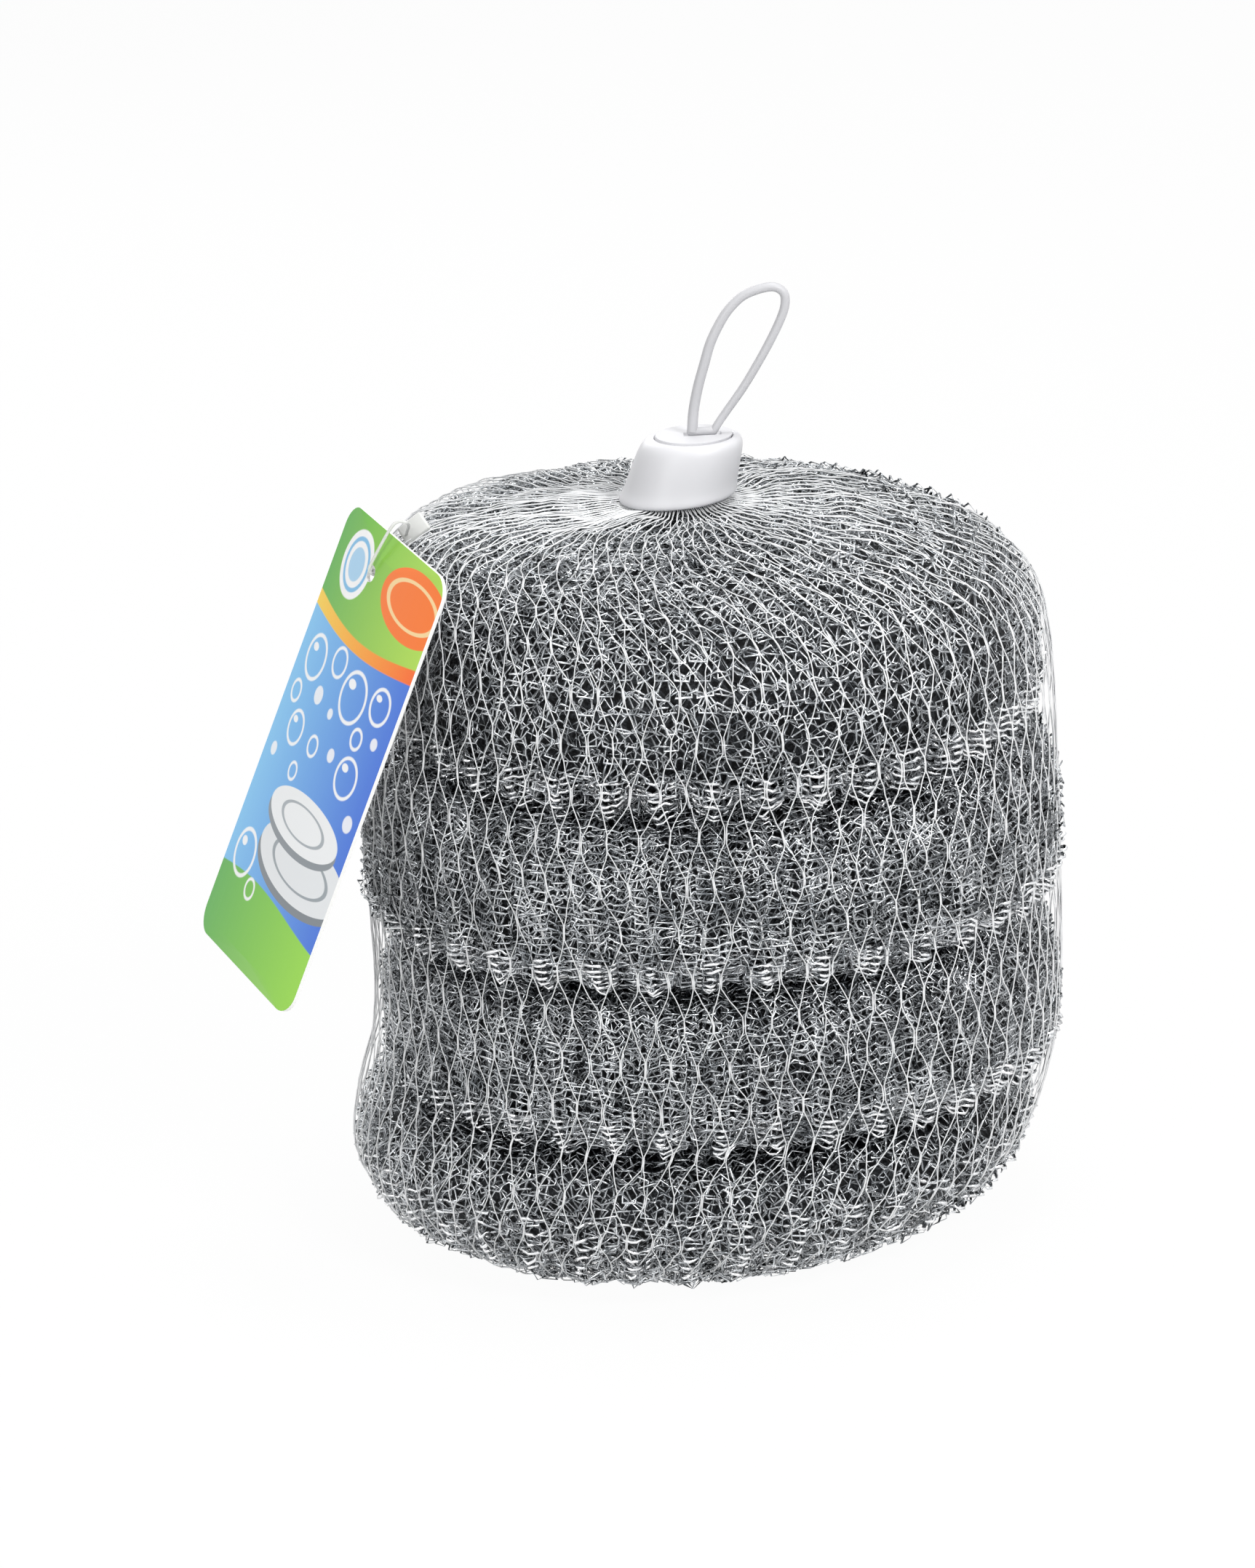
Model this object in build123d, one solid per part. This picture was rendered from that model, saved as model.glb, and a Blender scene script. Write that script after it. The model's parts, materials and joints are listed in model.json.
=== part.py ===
from build123d import *
from math import cos, hypot, pi, sin
import os

# Four knitted steel scourers, stacked in a gathered net bag with a moulded clip and a swing tag.
# The origin is on the floor under the middle of the stack, beside the weld that closes the bag.
# +Z is up, and -Y is the side that faces the buyer. All lengths are in millimetres.

# Scourers, from the floor up
scourer_radius = 44.0
scourer_height = 23.0
scourer_gap = 0.3  # air between two scourers
radius_shares = (0.992, 0.985, 1.011, 0.943)
height_shares = (0.835, 0.957, 1.03, 1.17)
shift_shares = (-0.061, 0.034, 0.027, 0.055)  # how far each one sits to the side
pleat_count = 39
groove_share = 0.965  # reach at the bottom of the groove between two pleats

# Outlines from the middle of the underside round to the middle of the top, as reach and level
base_outline_shares = (
    (0.07, 0.24), (0.56, 0.0), (0.66, 0.055), (0.785, 0.17), (0.90, 0.33),
    (0.98, 0.53), (1.0, 0.72), (0.95, 0.92), (0.80, 1.0), (0.07, 0.78),
)
middle_outline_shares = (
    (0.07, 0.26), (0.56, 0.03), (0.82, 0.0), (0.95, 0.13), (1.0, 0.36),
    (1.0, 0.62), (0.94, 0.88), (0.80, 1.0), (0.07, 0.78),
)
crown_outline_shares = (
    (0.07, 0.24), (0.56, 0.03), (0.82, 0.0), (0.955, 0.09), (1.0, 0.26),
    (0.99, 0.46), (0.925, 0.66), (0.765, 0.81), (0.585, 0.905), (0.38, 0.965), (0.07, 0.93),
)

# Wire staple through the middle of each scourer
staple_wire = 1.0
staple_span = 3.2  # between its two legs
staple_clearance = 0.2

# Net bag
net_thickness = 0.45
net_gap = 0.35  # air between the net and a scourer
net_columns = 20
cell_share = 0.92  # how much of its place each hole fills
pinch_radius = 5.0  # where the bottom end of the net turns in to its weld
pinch_rise = 2.0
weld_radius = 2.2
overrun = 3.0  # how far a cut reaches past a wall

# What the net goes round, from the floor up: middle, reach and level
bag_shares = (
    (-0.148, 0.675, 0.0), (-0.111, 0.895, 0.034), (-0.075, 1.007, 0.112), (-0.026, 1.023, 0.215),
    (0.024, 1.008, 0.32), (0.031, 1.013, 0.43), (0.029, 1.022, 0.54), (0.031, 1.021, 0.65),
    (0.046, 1.003, 0.755), (0.045, 0.968, 0.85), (-0.004, 0.895, 0.925), (-0.083, 0.728, 0.976),
    (-0.091, 0.430, 1.0),
)

# Moulded clip, raked to the right
clip_height = 7.4
clip_rise = 0.9  # from the top of the net's dome to its foot
clip_foot_radius = 7.3
clip_top_radius = 6.5
clip_foot_offset = -1.3  # where the middle of its foot stands
clip_top_offset = 2.7  # how far its top stands to the right of its foot
bore_radius = 5.2
rim_round = 0.7
rim_steps = 3
clip_sides = 40  # flats round the clip and the plug
lip_height = 0.9
lip_reach = 0.5
neck_radius = 4.6  # the gathered net inside the clip
neck_clearance = 0.35  # under the clip's foot and under the plug's head

# Plug and hang loop
plug_head_height = 1.4
plug_head_radius = 4.9
plug_stem_radius = 3.6
plug_tip_radius = 3.1
plug_stem_height = 4.6
loop_height = 20.2
loop_thickness = 1.25
loop_width = 1.7
loop_edge = 0.4
bead_radius = loop_width / 2  # of the bead that joins its feet, which the loop folds about
bead_lift = 0.5  # from the face of the plug up to the middle of the bead
bead_clearance = 0.2
bead_overhang = 0.3
# Corners of the strap's middle line and the rounds between them, in loop heights
loop_corner_shares = (
    (-0.010, 0.0), (0.080, 0.47), (0.275, 0.985), (0.700, 1.03), (0.475, 0.50), (0.115, 0.0),
)
loop_round_shares = (1.2, 0.22, 0.085, 1.0)

# Swing tag and its fastener
card_width = 30.0
card_length = 59.3
card_thickness = 0.5
card_corner_radius = 3.0
hole_radius = 1.1
hole_from_side = 12.0
hole_from_top = 5.7
card_across = Vector(0.403, -0.903, -0.123)  # from its left edge to its right edge
card_up = Vector(0.393, 0.050, 0.917)
hang_shares = (-0.92, -0.29, 0.965)  # about where its hole hangs
tag_clearance = 0.35
bar_radius = 0.45
bar_length = 5.0
filament_radius = 0.25
filament_sides = 6
bend_radius = 0.7
filament_over_edge = 1.7  # how far it clears the card's top edge
paddle_length = 3.8
paddle_width = 2.6
paddle_thickness = 0.8

scourers = range(len(radius_shares))
outlines = (base_outline_shares, middle_outline_shares, middle_outline_shares, crown_outline_shares)
radii = [share * scourer_radius for share in radius_shares]
heights = [share * scourer_height for share in height_shares]
shifts = [share * scourer_radius for share in shift_shares]
net_reach = net_gap + net_thickness
floors = [net_reach + sum(heights[:k]) + k * scourer_gap for k in scourers]
stack_top = floors[-1] + heights[-1]
clip_foot = stack_top + net_reach + clip_rise
clip_top = clip_foot + clip_height


def ring(middle, level, reach, points, groove=1.0):
    """A level polygon about middle. Every second corner is drawn in by groove."""
    corners = []
    for k in range(points):
        angle = 2 * pi * k / points
        out = reach * (groove if k % 2 else 1)
        corners.append(Vector(middle + out * cos(angle), out * sin(angle), level))
    return corners


def stacked_rings(rings):
    """A solid with flat facets from each ring to the next, and a flat cap at each end."""
    faces = [Face(Wire.make_polygon(rings[0])), Face(Wire.make_polygon(rings[-1]))]
    for low, high in zip(rings, rings[1:]):
        for k in range(len(low)):
            after = (k + 1) % len(low)
            faces.append(Face(Wire.make_polygon([low[k], low[after], high[after], high[k]])))
    return Solid(Shell(faces))


def make_scourer(number):
    """A pleated disc with rolled rims and a dimple in each face, pierced for its staple."""
    rings = []
    for reach, level in outlines[number]:
        height = floors[number] + level * heights[number]
        rings.append(
            ring(shifts[number], height, reach * radii[number], 2 * pleat_count, groove_share)
        )
    slot = staple_wire + 2 * staple_clearance
    middle = floors[number] + heights[number] / 2
    slots = [
        Pos(shifts[number] + side * staple_span / 2, 0, middle) * Box(slot, slot, heights[number])
        for side in (-1, 1)
    ]
    return stacked_rings(rings).cut(*slots)


def make_staple(number):
    """A wire staple: a crown in the upper dimple, two legs, and feet bent in below."""
    shares = outlines[number]
    low = floors[number] + shares[0][1] * heights[number] - staple_clearance
    high = floors[number] + shares[-1][1] * heights[number] + staple_clearance
    half = staple_wire / 2
    crown = Box(staple_span + staple_wire, staple_wire, staple_wire)
    staple = Pos(shifts[number], 0, high + half) * crown
    for side in (-1, 1):
        at = shifts[number] + side * staple_span / 2
        leg = Box(staple_wire, staple_wire, high - low + 2 * staple_wire)
        foot = Box(staple_span / 2 - staple_clearance, staple_wire, staple_wire)
        staple += Pos(at, 0, (low + high) / 2) * leg
        staple += Pos(at - side * staple_span / 4, 0, low - half) * foot
    return staple


def spread(line, distance):
    """The line of (reach, level) points moved outward by distance, square to its own runs."""
    moved = []
    for k, (reach, level) in enumerate(line):
        before, after = line[max(k - 1, 0)], line[min(k + 1, len(line) - 1)]
        squares = []
        for (r0, z0), (r1, z1) in ((before, (reach, level)), ((reach, level), after)):
            run = hypot(r1 - r0, z1 - z0)
            if run:
                squares.append(((z1 - z0) / run, (r0 - r1) / run))
        out, up = sum(s[0] for s in squares), sum(s[1] for s in squares)
        scale = len(squares) / (out * out + up * up)
        moved.append((reach + distance * out * scale, level + distance * up * scale))
    return moved


def bag_rings(distance):
    """The rings of the bag's wall at a distance outside what it goes round."""
    corner_share = 1 / cos(pi / net_columns)
    height = stack_top - net_reach
    line = [(reach * scourer_radius, net_reach + level * height) for _, reach, level in bag_shares]
    moved = spread([(pinch_radius, net_reach)] + line, distance)[1:]
    middles = [middle * scourer_radius for middle, _, _ in bag_shares]
    return [
        ring(middle, level, reach * corner_share, net_columns)
        for middle, (reach, level) in zip(middles, moved)
    ]


def neck_rings(inset):
    """The rings of the gathered neck: under the clip's foot, at its bore, and under the plug's head."""
    head = clip_height - plug_head_height - neck_clearance
    rings = [ring(clip_foot_offset, clip_foot - neck_clearance - inset, clip_foot_radius, net_columns)]
    for height in (0, head):
        rings.append(ring(clip_middle(height), clip_foot + height, neck_radius - inset, net_columns))
    return rings


def on_ring(corners, place):
    """The point at place on a ring, where whole numbers are its corners."""
    k = int(place) % len(corners)
    return corners[k] + (corners[(k + 1) % len(corners)] - corners[k]) * (place - int(place))


def make_cell(rings, row, column):
    """The prism that opens one diamond hole of the net."""
    place = column + (row % 2) / 2 + 1
    side = cell_share / 2
    low = on_ring(rings[row], place)
    low += (on_ring(rings[row - 1], place) - low) * cell_share
    high = on_ring(rings[row], place)
    high += (on_ring(rings[row + 1], place) - high) * cell_share
    left, right = on_ring(rings[row], place - side), on_ring(rings[row], place + side)
    middle = (low + high + left + right) / 4
    flat = Plane(origin=middle, x_dir=high - low, z_dir=(right - left).cross(high - low))
    hole = Face(Wire.make_polygon([flat_point(flat, p) for p in (low, right, high, left)]))
    return extrude(hole, overrun, dir=flat.z_dir, both=True)


def flat_point(flat, point):
    """The point of a plane that lies square under or over a given point."""
    return point - flat.z_dir * (point - flat.origin).dot(flat.z_dir)


def make_net():
    """The bag: a thin wall from its weld up to the clip, opened by rows of diamond holes."""
    outside, inside = bag_rings(net_reach), bag_rings(net_gap)
    pinch = bag_shares[0][0] * scourer_radius
    outer_pinch = [
        ring(pinch, pinch_rise, weld_radius, net_columns),
        ring(pinch, 0, pinch_radius, net_columns),
    ]
    inner_pinch = [
        ring(pinch, pinch_rise + net_thickness, weld_radius, net_columns),
        ring(pinch, net_thickness, pinch_radius, net_columns),
    ]
    outer = stacked_rings(outer_pinch + outside + neck_rings(0))
    inner = stacked_rings(inner_pinch + inside + neck_rings(net_thickness))
    rows = outer_pinch[1:] + outside
    cells = [
        make_cell(rows, row, column)
        for row in range(1, len(rows) - 1)
        for column in range(net_columns)
    ]
    return outer.cut(inner).cut(*cells)


def clip_middle(height):
    """Where the clip's raked middle line is, at a height above its foot."""
    return clip_foot_offset + clip_top_offset * height / clip_height


def raked(*sections):
    """A form of many flats on the clip's middle line, through radii at heights above its foot."""
    loops = [
        Pos(clip_middle(height), 0, clip_foot + height) * RegularPolygon(radius, clip_sides)
        for height, radius in sections
    ]
    return loft(loops, ruled=True)


def make_clip():
    """The moulded collar: a raked cone with a lip, a rounded rim and a bore for the neck."""
    sections = [(0, clip_foot_radius + lip_reach), (lip_height, clip_foot_radius)]
    for step in range(rim_steps + 1):
        turn = pi / 2 * step / rim_steps
        height = clip_height - rim_round * (1 - sin(turn))
        sections.append((height, clip_top_radius - rim_round * (1 - cos(turn))))
    bore = raked((-overrun, bore_radius), (clip_height + overrun, bore_radius))
    return raked(*sections) - bore


def make_plug():
    """The plug that wedges the net: a head in the clip's bore and a tapered stem in the net's neck."""
    shoulder = clip_height - plug_head_height
    tip = shoulder - plug_stem_height
    head = raked((shoulder, plug_head_radius), (clip_height, plug_head_radius))
    stem = raked((tip, plug_tip_radius), (shoulder, plug_stem_radius))
    left, right = bead_ends()
    reach = right - left + 2 * bead_clearance
    groove = Cylinder(bead_radius + bead_clearance, reach, rotation=(0, 90, 0))
    return head + stem - Pos((left + right) / 2, 0, clip_top + bead_lift) * groove


def bead_ends():
    """The left and right ends of the bead that joins the two feet of the loop."""
    feet = [loop_corner_shares[k][0] * loop_height for k in (0, -1)]
    reach = loop_thickness / 2 + bead_overhang
    return clip_middle(clip_height) + feet[0] - reach, clip_middle(clip_height) + feet[1] + reach


def make_loop():
    """The hang loop: one strap bent through tangent arcs, on a bead that it folds about."""
    corners = [(x * loop_height, z * loop_height) for x, z in loop_corner_shares]
    rounds = [share * loop_height for share in loop_round_shares]
    upright = Plane(
        origin=(clip_middle(clip_height), 0, clip_top + bead_lift), x_dir=(1, 0, 0), z_dir=(0, -1, 0)
    )
    line = upright * FilletPolyline(*corners, radius=rounds)
    start = Plane(origin=line @ 0, x_dir=(0, 1, 0), z_dir=line % 0)
    strap = Rectangle(loop_width, loop_thickness)
    section = start * chamfer(strap.vertices(), loop_edge)
    left, right = bead_ends()
    bead = Cylinder(bead_radius, right - left, rotation=(0, 90, 0))
    return sweep(section, line) + Pos((left + right) / 2, 0, clip_top + bead_lift) * bead


def card_plane():
    """The plane of the card's middle layer, with its origin in the hole and its Y axis up the card."""
    front = card_across.cross(card_up).normalized()
    edge = max(corner.dot(front) for corners in bag_rings(net_reach) for corner in corners)
    sizes = (scourer_radius, scourer_radius, stack_top)
    hang = Vector(*(share * size for share, size in zip(hang_shares, sizes)))
    stand = 2 * bar_radius + 2 * tag_clearance + card_thickness / 2
    return Plane(origin=hang + front * (edge + stand - hang.dot(front)), x_dir=card_across, z_dir=front)


def make_card():
    """The tag: a rounded card with a round hole."""
    outline = RectangleRounded(card_width, card_length, card_corner_radius)
    middle = Pos(card_width / 2 - hole_from_side, hole_from_top - card_length / 2)
    face = card_plane() * (middle * outline - Circle(hole_radius))
    return extrude(face, card_thickness / 2, both=True)


def make_fastener():
    """The nylon fastener: a bar behind the hole, a filament over the card's edge, and a paddle."""
    flat = card_plane()
    back = -card_thickness / 2 - tag_clearance - bar_radius
    front = card_thickness / 2 + tag_clearance + filament_radius
    top = hole_from_top + filament_over_edge
    rings = bag_rings(net_reach)
    lower, upper = [on_ring(corners, net_columns / 2) for corners in rings[-3:-1]]
    slope = upper - lower
    out = (Vector(0, 1, 0).cross(slope)).normalized()
    out = out if out.Z > 0 else -out
    rest = Plane(origin=upper + out * (tag_clearance + paddle_thickness / 2), x_dir=slope, z_dir=out)
    places = [(0, 0, back), (0, 0, front), (0, top, front), (0, top, back)]
    points = [flat.from_local_coords(Vector(*place)) for place in places] + [rest.origin]
    line = FilletPolyline(*points, radius=bend_radius)
    start = Plane(origin=line @ 0, z_dir=line % 0)
    filament = sweep(start * RegularPolygon(filament_radius, filament_sides), line)
    bar = Plane(origin=points[0], x_dir=flat.y_dir, z_dir=flat.x_dir) * Cylinder(bar_radius, bar_length)
    paddle = rest * Box(paddle_length, paddle_width, paddle_thickness)
    return filament + bar + paddle


nodes = {"clip_collar": make_clip(), "loop_plug": make_plug(), "hang_loop": make_loop()}
nodes.update(tag_card=make_card(), tag_fastener=make_fastener())
for number in scourers:
    nodes[f"scourer_{number + 1}"] = make_scourer(number)
    nodes[f"scourer_{number + 1}_tie"] = make_staple(number)
nodes["net_bag"] = make_net()

os.makedirs("parts", exist_ok=True)
for name, solid in nodes.items():
    export_step(solid, f"parts/{name}.step")
    size = solid.bounding_box().size
    print(f"{name}: {solid.volume:.1f} mm3, {size.X:.1f} by {size.Y:.1f} by {size.Z:.1f} mm")
hinge = clip_top + bead_lift
hole = card_plane()
place, direction = [round(v, 2) for v in hole.origin], [round(v, 4) for v in hole.z_dir]
print(f"loop folds about X at {clip_middle(clip_height):.2f}, 0, {hinge:.2f}")
print(f"card swings at {place} about {direction}")
print(f"scourers turn at X {[round(shift, 2) for shift in shifts]}")
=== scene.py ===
import json
from math import cos, pi, radians, sin

import bpy
from mathutils import Euler, Matrix, Vector
from mathutils.geometry import delaunay_2d_cdt


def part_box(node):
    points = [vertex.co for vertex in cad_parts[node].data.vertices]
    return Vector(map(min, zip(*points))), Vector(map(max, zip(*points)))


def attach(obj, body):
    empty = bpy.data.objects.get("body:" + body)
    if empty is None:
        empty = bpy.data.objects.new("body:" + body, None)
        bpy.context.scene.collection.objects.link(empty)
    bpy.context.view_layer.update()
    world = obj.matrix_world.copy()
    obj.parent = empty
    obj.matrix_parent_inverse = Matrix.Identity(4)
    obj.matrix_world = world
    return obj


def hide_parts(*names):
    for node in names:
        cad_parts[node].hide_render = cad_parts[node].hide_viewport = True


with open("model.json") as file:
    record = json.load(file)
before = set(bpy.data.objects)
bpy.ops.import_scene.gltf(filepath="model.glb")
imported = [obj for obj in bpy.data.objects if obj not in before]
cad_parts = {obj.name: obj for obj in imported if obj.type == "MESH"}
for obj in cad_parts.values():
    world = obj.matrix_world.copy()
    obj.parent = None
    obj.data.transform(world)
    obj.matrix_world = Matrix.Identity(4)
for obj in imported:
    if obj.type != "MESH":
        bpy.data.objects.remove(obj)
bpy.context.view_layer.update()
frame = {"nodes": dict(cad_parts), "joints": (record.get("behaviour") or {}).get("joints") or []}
mm = 0.001  # sizes below are in millimetres


# Helpers
def linear(hexColor):
    parts = [int(hexColor[k:k + 2], 16) / 255 for k in (1, 3, 5)]
    return [c / 12.92 if c <= 0.04045 else ((c + 0.055) / 1.055) ** 2.4 for c in parts] + [1.0]


def addNode(tree, kind, inputs=None, **settings):
    node = tree.nodes.new(kind)
    for name, value in settings.items():
        setattr(node, name, value)
    for key, value in (inputs or {}).items():
        shown = [s for s in node.inputs if s.enabled and s.name == key]
        socket = shown[0] if shown else node.inputs[key]
        if isinstance(value, bpy.types.Node):
            value = next(s for s in value.outputs if s.enabled)
        if isinstance(value, bpy.types.NodeSocket):
            tree.links.new(value, socket)
        else:
            socket.default_value = value
    return node


def newMaterial(name, viewColor):
    material = bpy.data.materials.new(name)
    material.use_nodes = True
    material.diffuse_color = linear(viewColor)
    material.node_tree.nodes.clear()
    return material, material.node_tree


def newTree(name, inputs):
    tree = bpy.data.node_groups.new(name, "GeometryNodeTree")
    tree.interface.new_socket("Geometry", in_out="INPUT", socket_type="NodeSocketGeometry")
    for label, kind in inputs:
        tree.interface.new_socket(label, in_out="INPUT", socket_type="NodeSocket" + kind)
    tree.interface.new_socket("Geometry", in_out="OUTPUT", socket_type="NodeSocketGeometry")
    return tree, tree.nodes.new("NodeGroupInput").outputs


def newPiece(name, points, faces, material=None, edges=()):
    mesh = bpy.data.meshes.new(name)
    mesh.from_pydata([Vector(p) * mm for p in points], list(edges), faces)
    mesh.update()
    if material:
        mesh.materials.append(material)
    mesh.shade_smooth()
    piece = bpy.data.objects.new(name, mesh)
    bpy.context.scene.collection.objects.link(piece)
    return piece


def grow(name, tree, guide, values):
    start = newPiece(name + "Guide", guide, [], edges=[(k, k + 1) for k in range(len(guide) - 1)])
    modifier = start.modifiers.new(name, "NODES")
    modifier.node_group = tree
    for item in tree.interface.items_tree:
        if item.item_type == "SOCKET" and item.in_out == "INPUT" and item.name in values:
            modifier[item.identifier] = values[item.name]
    bpy.context.view_layer.update()
    grown = start.evaluated_get(bpy.context.evaluated_depsgraph_get())
    mesh = bpy.data.meshes.new_from_object(grown)
    mesh.name = name
    mesh.shade_smooth()
    piece = bpy.data.objects.new(name, mesh)
    bpy.context.scene.collection.objects.link(piece)
    bpy.data.objects.remove(start)
    return piece


def roundForm(name, section, sides, material, closed=False):
    points, faces = [], []
    for middle, reach, height in section:
        for k in range(sides):
            angle = 2 * pi * k / sides
            points.append((middle + reach * cos(angle), reach * sin(angle), height))
    rows = len(section)
    for row in range(rows if closed else rows - 1):
        low, high = row * sides, (row + 1) % rows * sides
        for k in range(sides):
            after = (k + 1) % sides
            faces.append((low + k, low + after, high + after, high + k))
    if not closed:
        faces.append(tuple(range(sides))[::-1])
        faces.append(tuple(range((rows - 1) * sides, rows * sides)))
    return newPiece(name, points, faces, material)


def pin(name, radius, ends, tip, sides, material):  # tip: share of the radius and way in, from the end on
    start, end = ends
    section = [(0, radius * share, start + way) for share, way in tip]
    section += [(0, radius * share, end - way) for share, way in reversed(tip)]
    return roundForm(name, section, sides, material)


def plainMaterial(name, finish):
    material, nodes = newMaterial(name, finish["color"])
    shine = addNode(nodes, "ShaderNodeBsdfPrincipled", {
        "Base Color": linear(finish["color"]), "Roughness": finish["roughness"], "IOR": finish["ior"],
        "Transmission Weight": finish["clear"],
    })
    addNode(nodes, "ShaderNodeOutputMaterial", {"Surface": shine})
    return material


def dress(piece, body, node):
    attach(piece, body)
    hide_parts(node)


# Camera: a buyer looks a little down on the pack, head slightly tilted
camera = {
    "target": (-9.3, 0, 56.7), "elevation": 17.7, "roll": -3.0, "lens": 135, "longSide": 36, "distance": 757,
}
lookDown = radians(camera["elevation"])
cameraData = bpy.data.cameras.new("camera")
cameraData.lens = camera["lens"]
cameraData.sensor_fit = "VERTICAL"
cameraData.sensor_height = camera["longSide"]
cameraObject = bpy.data.objects.new("camera", cameraData)
bpy.context.scene.collection.objects.link(cameraObject)
toCamera = Vector((0, -cos(lookDown), sin(lookDown)))
cameraObject.location = (Vector(camera["target"]) + toCamera * camera["distance"]) * mm
level = Euler((pi / 2 - lookDown, 0, 0)).to_matrix()
cameraObject.rotation_euler = (level @ Matrix.Rotation(radians(camera["roll"]), 3, "Z")).to_euler()
bpy.context.scene.camera = cameraObject
bpy.context.scene.view_settings.view_transform = "Standard"

# Studio: pale floor, white surroundings, soft lamps
studio = {
    "floorSide": 8000, "floorColor": "#F6F6F6", "floorGlow": 0.96, "fillLight": 0.34, "aim": (0, 0, 55),
    "lamps": {  # place, side of the lamp, watts
        "keyLamp": ((420, -560, 600), 240, 4.1),
        "frontLamp": ((-540, -660, 320), 280, 1.9),
        "topLamp": ((120, 60, 800), 300, 2.9),
        "backLamp": ((-260, 640, 380), 300, 1.0),
    },
}
for lampName, (place, side, watts) in studio["lamps"].items():
    lamp = bpy.data.lights.new(lampName, "AREA")
    lamp.size = side * mm
    lamp.energy = watts
    lampObject = bpy.data.objects.new(lampName, lamp)
    bpy.context.scene.collection.objects.link(lampObject)
    lampObject.location = Vector(place) * mm
    lampObject.rotation_euler = (Vector(place) - Vector(studio["aim"])).to_track_quat("Z", "Y").to_euler()

world = bpy.data.worlds.new("world")
bpy.context.scene.world = world
world.use_nodes = True
world.node_tree.nodes.clear()
floorPaint, nodes = newMaterial("floorPaint", studio["floorColor"])
# Cameras, gloss and clear plastic see white; other rays get the studio's light
for tree in (world.node_tree, nodes):
    rays = addNode(tree, "ShaderNodeLightPath").outputs
    seen = addNode(tree, "ShaderNodeMath", {
        0: rays["Is Camera Ray"], 1: rays["Is Glossy Ray"],
    }, operation="MAXIMUM")
    seen = addNode(tree, "ShaderNodeMath", {0: seen, 1: rays["Is Transmission Ray"]}, operation="MAXIMUM")
    if tree == nodes:
        share = addNode(tree, "ShaderNodeMath", {0: seen, 1: studio["floorGlow"]}, operation="MULTIPLY")
        paint = addNode(tree, "ShaderNodeBsdfDiffuse", {"Color": linear(studio["floorColor"])})
        white = addNode(tree, "ShaderNodeEmission", {"Strength": 1.0})
        mixed = addNode(tree, "ShaderNodeMixShader", {"Fac": share, 1: paint, 2: white})
        addNode(tree, "ShaderNodeOutputMaterial", {"Surface": mixed})
    else:
        strength = addNode(tree, "ShaderNodeMapRange", {
            "Value": seen, "To Min": studio["fillLight"], "To Max": 1.0,
        })
        sky = addNode(tree, "ShaderNodeBackground", {"Color": linear("#FFFFFF"), "Strength": strength})
        addNode(tree, "ShaderNodeOutputWorld", {"Surface": sky})
half = studio["floorSide"] / 2
corners = [(-half, -half, 0), (half, -half, 0), (half, half, 0), (-half, half, 0)]
floor = newPiece("floor", corners, [(0, 1, 2, 3)], floorPaint)
print("camera and studio ready")

# Stainless steel flat wire, cold rolled: mirror-like, but its rolled grain spreads each glint a little.
# The wire bunched in tight folds at the rims gets a lighter copy of this finish: a painted highlight
wireFinish = {
    "color": "#E2E5E8", "shadeColor": "#7C8084", "rimHighlightColor": "#F8F8F9", "shadeSize": 3.6,
    "shadeFrom": (0.3, 0.66), "roughness": (0.14, 0.34), "grainSize": 0.5,
}
wireMaterials = []
# The second copy is lighter all over: a painted highlight for the bunched rims
for name, shadeColor, brightColor in (
    ("rolledSteelWire", wireFinish["shadeColor"], wireFinish["color"]),
    ("rimHighlightSteelWire", wireFinish["color"], wireFinish["rimHighlightColor"]),
):
    material, nodes = newMaterial(name, brightColor)
    place = addNode(nodes, "ShaderNodeTexCoord").outputs["Object"]
    finer = 1 / (wireFinish["shadeSize"] * mm)
    shade = addNode(nodes, "ShaderNodeTexNoise", {"Vector": place, "Scale": finer, "Detail": 2.0})
    low, high = wireFinish["shadeFrom"]
    shade = addNode(nodes, "ShaderNodeMapRange", {
        "Value": shade.outputs["Fac"], "From Min": low, "From Max": high,
    })
    tint = addNode(nodes, "ShaderNodeMix", {
        "Factor": shade, "A": linear(shadeColor), "B": linear(brightColor),
    }, data_type="RGBA")
    finer = 1 / (wireFinish["grainSize"] * mm)
    grain = addNode(nodes, "ShaderNodeTexNoise", {"Vector": place, "Scale": finer, "Detail": 1.0})
    low, high = wireFinish["roughness"]
    rough = addNode(nodes, "ShaderNodeMapRange", {
        "Value": grain.outputs["Fac"], "To Min": low, "To Max": high,
    })
    shine = addNode(nodes, "ShaderNodeBsdfPrincipled", {
        "Base Color": tint, "Metallic": 1.0, "Roughness": rough,
    })
    addNode(nodes, "ShaderNodeOutputMaterial", {"Surface": shine})
    wireMaterials.append(material)
steelWire, rimHighlightWire = wireMaterials

# The same wire packed deep inside, where little light gets in: a core painted dark as shade,
# with darker painted shade in the gaps between its curls, and a faint curly sheen
coreShadeFinish = {
    "color": "#3C3F43", "curlGapShade": "#0F1012", "curlSize": 1.3, "curlFrom": (0.45, 0.62), "relief": 0.4,
    "roughness": 0.45, "metallic": 0.6,
}
coreShadeMaterial, nodes = newMaterial("paintedShadeCore", coreShadeFinish["color"])
place = addNode(nodes, "ShaderNodeTexCoord").outputs["Object"]
curls = addNode(nodes, "ShaderNodeTexNoise", {
    "Vector": place, "Scale": 1 / (coreShadeFinish["curlSize"] * mm), "Detail": 3.0, "Distortion": 2.0,
})
low, high = coreShadeFinish["curlFrom"]
edge = addNode(nodes, "ShaderNodeMapRange", {
    "Value": curls.outputs["Fac"], "From Min": low, "From Max": high,
})
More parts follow.
